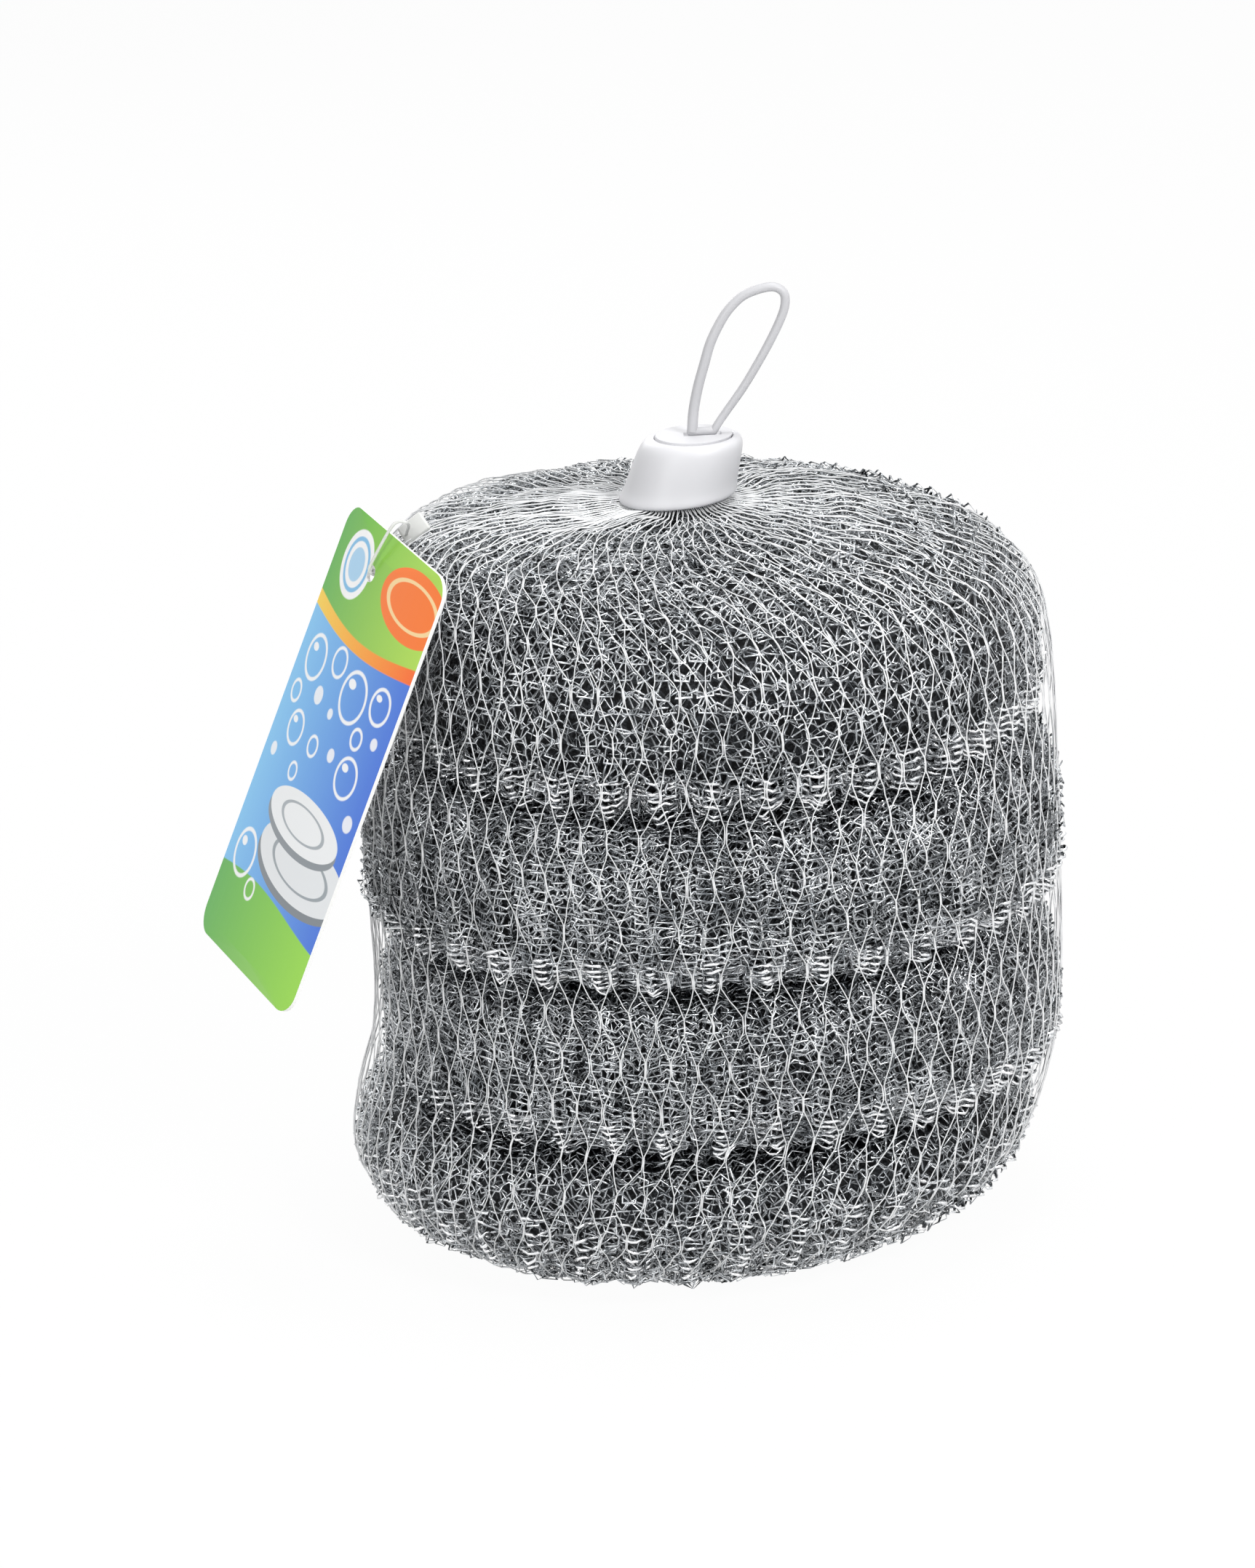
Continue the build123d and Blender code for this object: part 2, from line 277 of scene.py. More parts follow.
# painted shade: the gaps between the curls darker still
tint = addNode(nodes, "ShaderNodeMix", {
    "Factor": edge, "A": linear(coreShadeFinish["curlGapShade"]), "B": linear(coreShadeFinish["color"]),
}, data_type="RGBA")
deep = coreShadeFinish["relief"] * mm
relief = addNode(nodes, "ShaderNodeBump", {"Height": curls.outputs["Fac"], "Distance": deep})
shine = addNode(nodes, "ShaderNodeBsdfPrincipled", {
    "Base Color": tint, "Metallic": coreShadeFinish["metallic"], "Roughness": coreShadeFinish["roughness"],
    "Normal": relief,
})
addNode(nodes, "ShaderNodeOutputMaterial", {"Surface": shine})

# High density polyethylene yarn, slit and drawn: milky, half clear, with a waxy sheen
netYarn = plainMaterial("drawnPolyethyleneYarn", {
    "color": "#FAFBFC", "roughness": 0.38, "ior": 1.54, "clear": 0.1,
})

# Low density polyethylene, injection moulded: milky white, waxy, its gloss slightly uneven. The strap of the
# loop is thin enough for light to pass, so it sends less back.
mouldedFinish = {"color": "#DDDDE0", "strapColor": "#C6C6C9", "roughness": (0.4, 0.5), "waveSize": 2.2}
mouldedMaterials = []
for name, hexColor in (
    ("mouldedPolyethylene", mouldedFinish["color"]), ("thinPolyethylene", mouldedFinish["strapColor"]),
):
    material, nodes = newMaterial(name, hexColor)
    place = addNode(nodes, "ShaderNodeTexCoord").outputs["Object"]
    finer = 1 / (mouldedFinish["waveSize"] * mm)
    waves = addNode(nodes, "ShaderNodeTexNoise", {"Vector": place, "Scale": finer, "Detail": 3.0})
    low, high = mouldedFinish["roughness"]
    rough = addNode(nodes, "ShaderNodeMapRange", {
        "Value": waves.outputs["Fac"], "To Min": low, "To Max": high,
    })
    shine = addNode(nodes, "ShaderNodeBsdfPrincipled", {
        "Base Color": linear(hexColor), "Roughness": rough, "IOR": 1.51,
    })
    addNode(nodes, "ShaderNodeOutputMaterial", {"Surface": shine})
    mouldedMaterials.append(material)
mouldedPlastic, thinPlastic = mouldedMaterials

# Natural nylon, moulded and drawn: half clear, glossy
clearNylon = plainMaterial("naturalNylon", {"color": "#EEEFEC", "roughness": 0.25, "ior": 1.53, "clear": 0.2})
print("plain materials ready")

strandSides = 3  # enough for wire and yarn this thin

# Scourers. A flat wire is knitted round and round each pad: its loops lean over each other, kink and stray.
knitInputs = [(label, "Int") for label in ("Courses", "Stitches", "Steps", "Pleats")]
knitInputs += [(label, "Float") for label in (
    "Loop Height", "Loop Lean", "Loop Depth", "Wire Width", "Wire Thickness", "Pleat Depth",
    "Pleat Sharpness", "Inset", "Stray", "Stray Size", "Kink", "Kink Size", "Toss", "Seed", "Floor", "Roof",
    "Floor Tilt", "Roof Tilt",
)]
tree, put = newTree("knittedWire", knitInputs + [("Material", "Material")])
stitches = addNode(tree, "ShaderNodeMath", {0: put["Courses"], 1: put["Stitches"]}, operation="MULTIPLY")
runs = addNode(tree, "ShaderNodeMath", {0: stitches, 1: put["Steps"]}, operation="MULTIPLY")
count = addNode(tree, "ShaderNodeMath", {0: runs, 1: 1.0}, operation="ADD")
line = addNode(tree, "GeometryNodeMeshLine", {"Count": count})
along = addNode(tree, "ShaderNodeMath", {
    0: addNode(tree, "GeometryNodeInputIndex"), 1: runs,
}, operation="DIVIDE")
angle = addNode(tree, "ShaderNodeMath", {0: along, 1: put["Courses"]}, operation="MULTIPLY")
angle = addNode(tree, "ShaderNodeMath", {0: angle, 1: 2 * pi}, operation="MULTIPLY")
phase = addNode(tree, "ShaderNodeMath", {0: angle, 1: put["Stitches"]}, operation="MULTIPLY")
twice = addNode(tree, "ShaderNodeMath", {0: phase, 1: 2.0}, operation="MULTIPLY")
# The guide's points hold the pad's middle, its reach and its level
guide = addNode(tree, "GeometryNodeMeshToCurve", {"Mesh": put["Geometry"]})
guide = addNode(tree, "GeometryNodeCurveSplineType", {"Curve": guide}, spline_type="CATMULL_ROM")
sample = addNode(tree, "GeometryNodeSampleCurve", {
    "Curves": guide, "Factor": along,
}, mode="FACTOR", use_all_curves=True)
spotParts = addNode(tree, "ShaderNodeSeparateXYZ", {"Vector": sample.outputs["Position"]}).outputs
slopeParts = addNode(tree, "ShaderNodeSeparateXYZ", {"Vector": sample.outputs["Tangent"]}).outputs
slope = addNode(tree, "ShaderNodeCombineXYZ", {"X": slopeParts["Y"], "Z": slopeParts["Z"]})
slope = addNode(tree, "ShaderNodeVectorMath", {0: slope}, operation="NORMALIZE")
out = addNode(tree, "ShaderNodeVectorMath", {0: (0, 1, 0), 1: slope}, operation="CROSS_PRODUCT")
# Each loop rises and falls along the slope, leans sideways and arches outwards
wave = addNode(tree, "ShaderNodeMath", {0: phase}, operation="COSINE")
rise = addNode(tree, "ShaderNodeMath", {0: wave, 1: put["Loop Height"]}, operation="MULTIPLY")
wave = addNode(tree, "ShaderNodeMath", {0: twice}, operation="SINE")
lean = addNode(tree, "ShaderNodeMath", {0: wave, 1: put["Loop Lean"]}, operation="MULTIPLY")
wave = addNode(tree, "ShaderNodeMath", {0: twice}, operation="COSINE")
arch = addNode(tree, "ShaderNodeMath", {0: wave, 1: put["Loop Depth"]}, operation="MULTIPLY")
fold = addNode(tree, "ShaderNodeMath", {0: angle, 1: put["Pleats"]}, operation="MULTIPLY")
fold = addNode(tree, "ShaderNodeMath", {0: fold, 1: 0.5}, operation="MULTIPLY")
fold = addNode(tree, "ShaderNodeMath", {0: fold}, operation="COSINE")
fold = addNode(tree, "ShaderNodeMath", {0: fold}, operation="ABSOLUTE")
fold = addNode(tree, "ShaderNodeMath", {0: fold, 1: put["Pleat Sharpness"]}, operation="POWER")
fold = addNode(tree, "ShaderNodeMath", {0: fold, 1: 1.0}, operation="SUBTRACT")
arch = addNode(tree, "ShaderNodeMath", {0: fold, 1: put["Pleat Depth"], 2: arch}, operation="MULTIPLY_ADD")
arch = addNode(tree, "ShaderNodeMath", {0: arch, 1: put["Inset"]}, operation="SUBTRACT")
upward = addNode(tree, "ShaderNodeVectorMath", {0: slope, "Scale": rise}, operation="SCALE")
outward = addNode(tree, "ShaderNodeVectorMath", {0: out, "Scale": arch}, operation="SCALE")
arm = addNode(tree, "ShaderNodeCombineXYZ", {"X": spotParts["Y"], "Y": lean, "Z": spotParts["Z"]})
arm = addNode(tree, "ShaderNodeVectorMath", {0: arm, 1: upward}, operation="ADD")
arm = addNode(tree, "ShaderNodeVectorMath", {0: arm, 1: outward}, operation="ADD")
arm = addNode(tree, "ShaderNodeVectorRotate", {"Vector": arm, "Angle": angle}, rotation_type="Z_AXIS")
facing = addNode(tree, "ShaderNodeVectorRotate", {"Vector": out, "Angle": angle}, rotation_type="Z_AXIS")
middle = addNode(tree, "ShaderNodeCombineXYZ", {"X": spotParts["X"]})
spot = addNode(tree, "ShaderNodeVectorMath", {0: arm, 1: middle}, operation="ADD")
# The pads lie a little askew on each other, so a floor or roof tilts to the front or the back
spotParts = addNode(tree, "ShaderNodeSeparateXYZ", {"Vector": spot}).outputs
tilt = addNode(tree, "ShaderNodeMapRange", {
    "Value": spotParts["Z"], "From Min": put["Floor"], "From Max": put["Roof"], "To Min": put["Floor Tilt"],
    "To Max": put["Roof Tilt"],
})
lift = addNode(tree, "ShaderNodeMath", {0: tilt, 1: spotParts["Y"]}, operation="MULTIPLY")
lift = addNode(tree, "ShaderNodeCombineXYZ", {"Z": lift})
spot = addNode(tree, "ShaderNodeVectorMath", {0: spot, 1: lift}, operation="ADD")
for amount, size, seedShift in (("Stray", "Stray Size", 0.0), ("Kink", "Kink Size", 7.3)):
    finer = addNode(tree, "ShaderNodeMath", {0: 1.0, 1: put[size]}, operation="DIVIDE")
    seed = addNode(tree, "ShaderNodeMath", {0: put["Seed"], 1: seedShift}, operation="ADD")
    noise = addNode(tree, "ShaderNodeTexNoise", {
        "Vector": spot, "W": seed, "Scale": finer, "Detail": 1.0,
    }, noise_dimensions="4D")
    around = addNode(tree, "ShaderNodeVectorMath", {
        0: noise.outputs["Color"], 1: (0.5, 0.5, 0.5),
    }, operation="SUBTRACT")
    push = addNode(tree, "ShaderNodeVectorMath", {0: around, "Scale": put[amount]}, operation="SCALE")
    spot = addNode(tree, "ShaderNodeVectorMath", {0: spot, 1: push}, operation="ADD")
    tilt = addNode(tree, "ShaderNodeVectorMath", {0: around, "Scale": put["Toss"]}, operation="SCALE")
    facing = addNode(tree, "ShaderNodeVectorMath", {0: facing, 1: tilt}, operation="ADD")
moved = addNode(tree, "GeometryNodeSetPosition", {"Geometry": line, "Position": spot})
kept = addNode(tree, "GeometryNodeStoreNamedAttribute", {
    "Geometry": moved, "Name": "facing", "Value": facing,
}, data_type="FLOAT_VECTOR", domain="POINT")
path = addNode(tree, "GeometryNodeMeshToCurve", {"Mesh": kept})
facing = addNode(tree, "GeometryNodeInputNamedAttribute", {"Name": "facing"}, data_type="FLOAT_VECTOR")
facing = facing.outputs["Attribute"]
path = addNode(tree, "GeometryNodeSetCurveNormal", {"Curve": path, "Normal": facing}, mode="FREE")
section = addNode(tree, "GeometryNodeCurvePrimitiveCircle", {
    "Resolution": strandSides, "Radius": 0.5,
}, mode="RADIUS").outputs["Curve"]
flat = addNode(tree, "ShaderNodeCombineXYZ", {"X": put["Wire Thickness"], "Y": put["Wire Width"], "Z": 1.0})
section = addNode(tree, "GeometryNodeTransform", {"Geometry": section, "Scale": flat})
wire = addNode(tree, "GeometryNodeCurveToMesh", {"Curve": path, "Profile Curve": section, "Fill Caps": True})
wire = addNode(tree, "GeometryNodeRemoveAttribute", {"Geometry": wire, "Name": "facing"})
wire = addNode(tree, "GeometryNodeRealizeInstances", {"Geometry": wire})
wire = addNode(tree, "GeometryNodeSetMaterial", {"Geometry": wire, "Material": put["Material"]})
addNode(tree, "NodeGroupOutput", {"Geometry": wire})
knittedWire = tree

# How each pad's wire runs: the open knit outside, a looser layer under it, and the courses bunched at its rim
padWires = {
    "outerKnit": {
        "Courses": 34, "Stitches": 104, "Steps": 7, "Pleats": 39, "Loop Height": 1.5, "Loop Lean": 0.8,
        "Loop Depth": 0.4, "Wire Width": 0.4, "Wire Thickness": 0.09, "Pleat Depth": 1.1,
        "Pleat Sharpness": 0.6, "Inset": -0.3, "Stray": 2.2, "Stray Size": 3.6, "Kink": 1.9, "Kink Size": 1.5,
        "Toss": 3.0,
    },
    "underKnit": {
        "Courses": 28, "Stitches": 96, "Steps": 6, "Pleats": 39, "Loop Height": 1.6, "Loop Lean": 0.9,
        "Loop Depth": 0.4, "Wire Width": 0.4, "Wire Thickness": 0.09, "Pleat Depth": 1.0,
        "Pleat Sharpness": 0.6, "Inset": 0.8, "Stray": 2.2, "Stray Size": 3.0, "Kink": 1.9, "Kink Size": 1.5,
        "Toss": 3.0,
    },
    "rimFolds": {
        "Courses": 6, "Stitches": 78, "Steps": 9, "Pleats": 39, "Loop Height": 0.22, "Loop Lean": 0.2,
        "Loop Depth": 0.2, "Wire Width": 0.66, "Wire Thickness": 0.34, "Pleat Depth": 2.8,
        "Pleat Sharpness": 2.0, "Inset": -0.9, "Stray": 2.2, "Stray Size": 3.2, "Kink": 1.1, "Kink Size": 1.3,
        "Toss": 0.9,
    },
}
plainInputs = ("Courses", "Stitches", "Steps", "Pleats", "Pleat Sharpness", "Toss")
# Outlines from the underside round to the top: shift of the middle, share of the radius, share of the height
padOutlines = {
    1: (
        (-2.0, 0.10, 0.20), (-2.5, 0.45, 0.03), (-2.5, 0.66, 0.0), (-2.0, 0.79, 0.06), (-1.2, 0.91, 0.19),
        (-0.3, 0.98, 0.41), (0, 1.0, 0.60), (-0.3, 0.98, 0.79), (-0.9, 0.925, 0.915), (-1.4, 0.84, 0.98),
        (-1.4, 0.70, 1.0),
    ),
    2: (
        (-1.2, 0.79, 0.0), (-1.2, 0.905, 0.0), (-1.0, 0.95, 0.035), (-0.6, 0.98, 0.09), (-0.2, 1.0, 0.2),
        (0, 1.004, 0.5), (-0.3, 0.985, 0.72), (-0.9, 0.93, 0.875), (-1.4, 0.845, 0.97), (-1.4, 0.70, 1.0),
    ),
    4: (
        (-1.2, 0.79, 0.0), (-1.2, 0.905, 0.0), (-1.0, 0.95, 0.03), (-0.6, 0.98, 0.08), (-0.2, 1.0, 0.18),
        (-0.1, 1.0, 0.45), (-0.8, 0.955, 0.68), (-2.9, 0.885, 0.83), (-5.3, 0.76, 0.935), (-6.6, 0.57, 0.99),
        (-6.6, 0.30, 1.0), (-5.2, 0.05, 1.0),
    ),
}
padOutlines[3] = padOutlines[2]
# Rise per way back, at each pad's floor and roof
padTilts = {1: (0, -0.03), 2: (-0.03, -0.017), 3: (-0.017, 0.055), 4: (0.055, 0)}
# The bunched rim: share of the radius, share of the height; the lowest pad's runs along its own outline
rimShares = ((0.94, 0.0), (0.965, 0.03), (0.985, 0.09), (0.998, 0.19))
lowestRim = slice(4, 7)
# The core painted dark as shade: how far inside the outline, its least reach, its sides
darkShadeCore = {"inset": 1.9, "leastReach": 0.3, "sides": 156}
layerSeed = 0.37  # so that no two layers stray alike
for number in (1, 2, 3, 4):
    node = f"scourer_{number}"
    low, high = [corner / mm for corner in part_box(node)]
    middle, radius, height = (low.x + high.x) / 2, (high.x - low.x) / 2, high.z - low.z
    outline = [
        (middle + shift, reach * radius, low.z + share * height)
        for shift, reach, share in padOutlines[number]
    ]
    rim = [(middle, reach * radius, low.z + share * height) for reach, share in rimShares]
    if number == 1:
        rim = outline[lowestRim]
    floorTilt, roofTilt = padTilts[number]
    pieces = []
    for kind, sizes in padWires.items():
        values = {label: value if label in plainInputs else value * mm for label, value in sizes.items()}
        values.update({
            "Seed": number + layerSeed * len(pieces), "Floor": low.z * mm, "Roof": high.z * mm,
            "Floor Tilt": floorTilt, "Roof Tilt": roofTilt,
            # the rim folds wear the lighter copy of the wire: a painted highlight
            "Material": rimHighlightWire if kind == "rimFolds" else steelWire,
        })
        pieces.append(grow(f"{kind}{number}", knittedWire, rim if kind == "rimFolds" else outline, values))
    # A core painted dark as shade sits inside the wire layers
    waist, shrink = low.z + height / 2, 1 - 2 * darkShadeCore["inset"] / height
    section = [
        (x, max(reach - darkShadeCore["inset"], darkShadeCore["leastReach"]), waist + (z - waist) * shrink)
        for x, reach, z in outline
    ]
    pieces.append(roundForm(f"darkShadeCore{number}", section, darkShadeCore["sides"], coreShadeMaterial))
    for vertex in pieces[-1].data.vertices:
        share = (vertex.co.z / mm - low.z) / height
        vertex.co.z += vertex.co.y * (floorTilt + (roofTilt - floorTilt) * share)
    for piece in pieces:
        dress(piece, node, node)
    tie = frame["nodes"][node + "_tie"].data.materials
    tie.clear()
    tie.append(steelWire)
    print(f"{node}: {sum(len(piece.data.polygons) for piece in pieces)} faces")

# Net bag. Neighbouring yarns meet, run side by side, and part again to meet the yarn beyond.
netInputs = [(label, "Int") for label in ("Columns", "Rows", "Steps")]
netInputs += [(label, "Float") for label in (
    "Yarn Radius", "Touch", "Twist", "Loose", "Stray", "Stray Size", "Waver", "Waver Size", "Seed",
)]
# Where a yarn stops its swing and runs with its neighbour, and how thick it looks there and between
netWeave = {"stay": 1.45, "knotFrom": 0.98, "singleYarn": 0.85, "doubleYarn": 1.25, "slackSeed": 5}
tree, put = newTree("knittedNet", netInputs + [("Material", "Material")])
runs = addNode(tree, "ShaderNodeMath", {0: put["Rows"], 1: put["Steps"]}, operation="MULTIPLY")
perYarn = addNode(tree, "ShaderNodeMath", {0: runs, 1: 1.0}, operation="ADD")
yarns = addNode(tree, "ShaderNodeMath", {0: put["Columns"], 1: 2.0}, operation="MULTIPLY")
count = addNode(tree, "ShaderNodeMath", {0: perYarn, 1: yarns}, operation="MULTIPLY")
dots = addNode(tree, "GeometryNodePoints", {"Count": count})
index = addNode(tree, "GeometryNodeInputIndex")
yarn = addNode(tree, "ShaderNodeMath", {0: index, 1: 0.5}, operation="ADD")
yarn = addNode(tree, "ShaderNodeMath", {0: yarn, 1: perYarn}, operation="DIVIDE")
yarn = addNode(tree, "ShaderNodeMath", {0: yarn}, operation="FLOOR")
step = addNode(tree, "ShaderNodeMath", {0: yarn, 1: perYarn}, operation="MULTIPLY")
step = addNode(tree, "ShaderNodeMath", {0: index, 1: step}, operation="SUBTRACT")
row = addNode(tree, "ShaderNodeMath", {0: step, 1: put["Steps"]}, operation="DIVIDE")
along = addNode(tree, "ShaderNodeMath", {0: row, 1: put["Rows"]}, operation="DIVIDE")
swing = addNode(tree, "ShaderNodeMath", {0: row, 1: 1.0}, operation="PINGPONG")
stay = netWeave["stay"]
swing = addNode(tree, "ShaderNodeMath", {0: swing, 1: 2 * stay, 2: -stay}, operation="MULTIPLY_ADD")
swing = addNode(tree, "ShaderNodeClamp", {"Value": swing, "Min": -1.0, "Max": 1.0})
toward = addNode(tree, "ShaderNodeMath", {0: yarn, 1: 2.0}, operation="MODULO")
toward = addNode(tree, "ShaderNodeMath", {0: toward, 1: -2.0, 2: 1.0}, operation="MULTIPLY_ADD")
sway = addNode(tree, "ShaderNodeMath", {0: swing, 1: toward}, operation="MULTIPLY")
sway = addNode(tree, "ShaderNodeMath", {0: sway, 1: put["Touch"]}, operation="MULTIPLY")
slack = addNode(tree, "FunctionNodeRandomValue", {
    "ID": yarn, "Seed": netWeave["slackSeed"], "Min": -1.0, "Max": 1.0,
}, data_type="FLOAT")
slack = addNode(tree, "ShaderNodeMath", {0: slack, 1: put["Loose"]}, operation="MULTIPLY")
column = addNode(tree, "ShaderNodeMath", {0: sway, 1: 0.5, 2: yarn}, operation="MULTIPLY_ADD")
column = addNode(tree, "ShaderNodeMath", {0: column, 1: slack}, operation="ADD")
angle = addNode(tree, "ShaderNodeMath", {0: column, 1: yarns}, operation="DIVIDE")
angle = addNode(tree, "ShaderNodeMath", {0: angle, 1: 2 * pi}, operation="MULTIPLY")
angle = addNode(tree, "ShaderNodeMath", {0: along, 1: put["Twist"], 2: angle}, operation="MULTIPLY_ADD")
guide = addNode(tree, "GeometryNodeMeshToCurve", {"Mesh": put["Geometry"]})
guide = addNode(tree, "GeometryNodeCurveSplineType", {"Curve": guide}, spline_type="CATMULL_ROM")
sample = addNode(tree, "GeometryNodeSampleCurve", {
    "Curves": guide, "Factor": along,
}, mode="FACTOR", use_all_curves=True)
spotParts = addNode(tree, "ShaderNodeSeparateXYZ", {"Vector": sample.outputs["Position"]}).outputs
arm = addNode(tree, "ShaderNodeCombineXYZ", {"X": spotParts["Y"], "Z": spotParts["Z"]})
arm = addNode(tree, "ShaderNodeVectorRotate", {"Vector": arm, "Angle": angle}, rotation_type="Z_AXIS")
middle = addNode(tree, "ShaderNodeCombineXYZ", {"X": spotParts["X"]})
spot = addNode(tree, "ShaderNodeVectorMath", {0: arm, 1: middle}, operation="ADD")
aside = addNode(tree, "ShaderNodeVectorMath", {0: arm, 1: (1, 1, 0)}, operation="MULTIPLY")
# Yarns stray on the bag, not off it
for amount, size, seedShift in (("Stray", "Stray Size", 0.0), ("Waver", "Waver Size", 3.1)):
    finer = addNode(tree, "ShaderNodeMath", {0: 1.0, 1: put[size]}, operation="DIVIDE")
    seed = addNode(tree, "ShaderNodeMath", {0: put["Seed"], 1: seedShift}, operation="ADD")
    noise = addNode(tree, "ShaderNodeTexNoise", {
        "Vector": spot, "W": seed, "Scale": finer, "Detail": 1.0,
    }, noise_dimensions="4D")
    push = addNode(tree, "ShaderNodeVectorMath", {
        0: noise.outputs["Color"], 1: (0.5, 0.5, 0.5),
    }, operation="SUBTRACT")
    off = addNode(tree, "ShaderNodeVectorMath", {0: push, 1: aside}, operation="PROJECT")
    push = addNode(tree, "ShaderNodeVectorMath", {0: push, 1: off}, operation="SUBTRACT")
    push = addNode(tree, "ShaderNodeVectorMath", {0: push, "Scale": put[amount]}, operation="SCALE")
    spot = addNode(tree, "ShaderNodeVectorMath", {0: spot, 1: push}, operation="ADD")
moved = addNode(tree, "GeometryNodeSetPosition", {"Geometry": dots, "Position": spot})
strands = addNode(tree, "GeometryNodePointsToCurves", {
    "Points": moved, "Curve Group ID": yarn, "Weight": step,
})
knot = addNode(tree, "ShaderNodeMath", {0: swing}, operation="ABSOLUTE")
knot = addNode(tree, "ShaderNodeMath", {0: knot, 1: netWeave["knotFrom"]}, operation="GREATER_THAN")
thick = addNode(tree, "ShaderNodeMapRange", {
    "Value": knot, "To Min": netWeave["singleYarn"], "To Max": netWeave["doubleYarn"],
})
thick = addNode(tree, "ShaderNodeMath", {0: thick, 1: put["Yarn Radius"]}, operation="MULTIPLY")
section = addNode(tree, "GeometryNodeCurvePrimitiveCircle", {
    "Resolution": strandSides, "Radius": 1.0,
}, mode="RADIUS").outputs["Curve"]
cloth = addNode(tree, "GeometryNodeCurveToMesh", {
    "Curve": strands, "Profile Curve": section, "Scale": thick, "Fill Caps": True,
})
cloth = addNode(tree, "GeometryNodeRealizeInstances", {"Geometry": cloth})
cloth = addNode(tree, "GeometryNodeSetMaterial", {"Geometry": cloth, "Material": put["Material"]})
addNode(tree, "NodeGroupOutput", {"Geometry": cloth})

net = {
    "counts": {
        "Columns": 80, "Rows": 28, "Steps": 6, "Touch": 0.93, "Twist": -0.12, "Loose": 0.07, "Seed": 2.0,
    },
    "sizes": {"Yarn Radius": 0.098, "Stray": 3.0, "Stray Size": 11.0, "Waver": 0.9, "Waver Size": 2.6},
    # From the weld up to the clip: middle, reach, level
    "guide": (
        (-6.5, 2.4, 2.2), (-6.5, 5.0, 0.5), (-6.5, 20, 0.4), (-6.3, 29.5, 0.7), (-5.5, 35.8, 2.3),
        (-4.3, 41.1, 6.0), (-3.0, 44.4, 11.2), (-1.5, 45.1, 17.0), (0.4, 44.8, 24.0), (1.2, 44.6, 32.0),
        (1.3, 44.7, 42.0), (1.2, 44.9, 52.0), (1.2, 44.8, 61.0), (1.7, 44.2, 69.0), (2.0, 43.4, 76.0),
        (1.8, 42.3, 81.5), (0.5, 40.0, 86.0), (-2.1, 36.1, 89.5), (-4.6, 30.8, 91.9), (-5.4, 24.0, 93.4),
        (-4.7, 17.0, 94.1), (-2.8, 11.0, 94.3), (-1.6, 7.4, 94.3), (-1.3, 5.6, 94.8), (-0.8, 4.6, 97.0),
    ),
}
values = {label: value * mm for label, value in net["sizes"].items()}
netPiece = grow("netBag", tree, net["guide"], {**values, **net["counts"], "Material": netYarn})
dress(netPiece, "pack", "net_bag")
print(f"net: {len(netPiece.data.polygons)} faces")

# Clip: a collar with soft edges and a spread foot, raked to the right, round the plug that wedges the net
clip = {
    "foot": 94.6, "height": 7.8, "footMiddle": -1.15, "rake": 2.5, "tilt": 0.045, "sides": 48, "smoothing": 2,
    # Reach and height above its foot: up the outside, over the rim and down the bore
    "section": (
        (5.15, 0.0), (6.3, -0.05), (7.3, 0.05), (7.55, 0.4), (7.45, 0.9), (7.25, 1.5), (7.1, 2.6),
        (6.95, 4.3), (6.7, 6.1), (6.45, 7.0), (6.05, 7.55), (5.5, 7.76), (5.1, 7.8), (5.0, 7.65), (5.0, 7.0),
        (5.1, 4.8), (5.15, 1.0),
    ),
}
section = [
    (clip["footMiddle"] + clip["rake"] * z / clip["height"], reach, clip["foot"] + z)
    for reach, z in clip["section"]
]
collar = roundForm("clipCollar", section, clip["sides"], mouldedPlastic, closed=True)
for vertex in collar.data.vertices:  # its foot sits lower on the left
    share = 1 - (vertex.co.z / mm - clip["foot"]) / clip["height"]
    vertex.co.z += (vertex.co.x - clip["footMiddle"] * mm) * clip["tilt"] * share
soften = collar.modifiers.new("soften", "SUBSURF")
soften.levels = soften.render_levels = clip["smoothing"]
dress(collar, "pack", "clip_collar")
plug = frame["nodes"]["loop_plug"].data.materials
plug.clear()
plug.append(mouldedPlastic)

# Bent round forms: a strap or thread swept along its guide
tree, put = newTree("bentRod", [
    ("Across", "Float"), ("Deep", "Float"), ("End Scale", "Float"), ("Points", "Int"), ("Sides", "Int"),
    ("Material", "Material"),
])
line = addNode(tree, "GeometryNodeMeshToCurve", {"Mesh": put["Geometry"]})
line = addNode(tree, "GeometryNodeCurveSplineType", {"Curve": line}, spline_type="CATMULL_ROM")
line = addNode(tree, "GeometryNodeResampleCurve", {"Curve": line, "Count": put["Points"]}, mode="COUNT")
line = addNode(tree, "GeometryNodeSetCurveNormal", {"Curve": line, "Normal": (0, 1, 0)}, mode="FREE")
place = addNode(tree, "GeometryNodeSplineParameter").outputs["Factor"]
width = addNode(tree, "ShaderNodeMapRange", {"Value": place, "To Min": 1.0, "To Max": put["End Scale"]})
section = addNode(tree, "GeometryNodeCurvePrimitiveCircle", {
    "Resolution": put["Sides"], "Radius": 0.5,
}, mode="RADIUS")
oval = addNode(tree, "ShaderNodeCombineXYZ", {"X": put["Deep"], "Y": put["Across"], "Z": 1.0})
section = addNode(tree, "GeometryNodeTransform", {"Geometry": section.outputs["Curve"], "Scale": oval})
rod = addNode(tree, "GeometryNodeCurveToMesh", {
    "Curve": line, "Profile Curve": section, "Scale": width, "Fill Caps": True,
})
rod = addNode(tree, "GeometryNodeRealizeInstances", {"Geometry": rod})
rod = addNode(tree, "GeometryNodeSetMaterial", {"Geometry": rod, "Material": put["Material"]})
addNode(tree, "NodeGroupOutput", {"Geometry": rod})
bentRod = tree

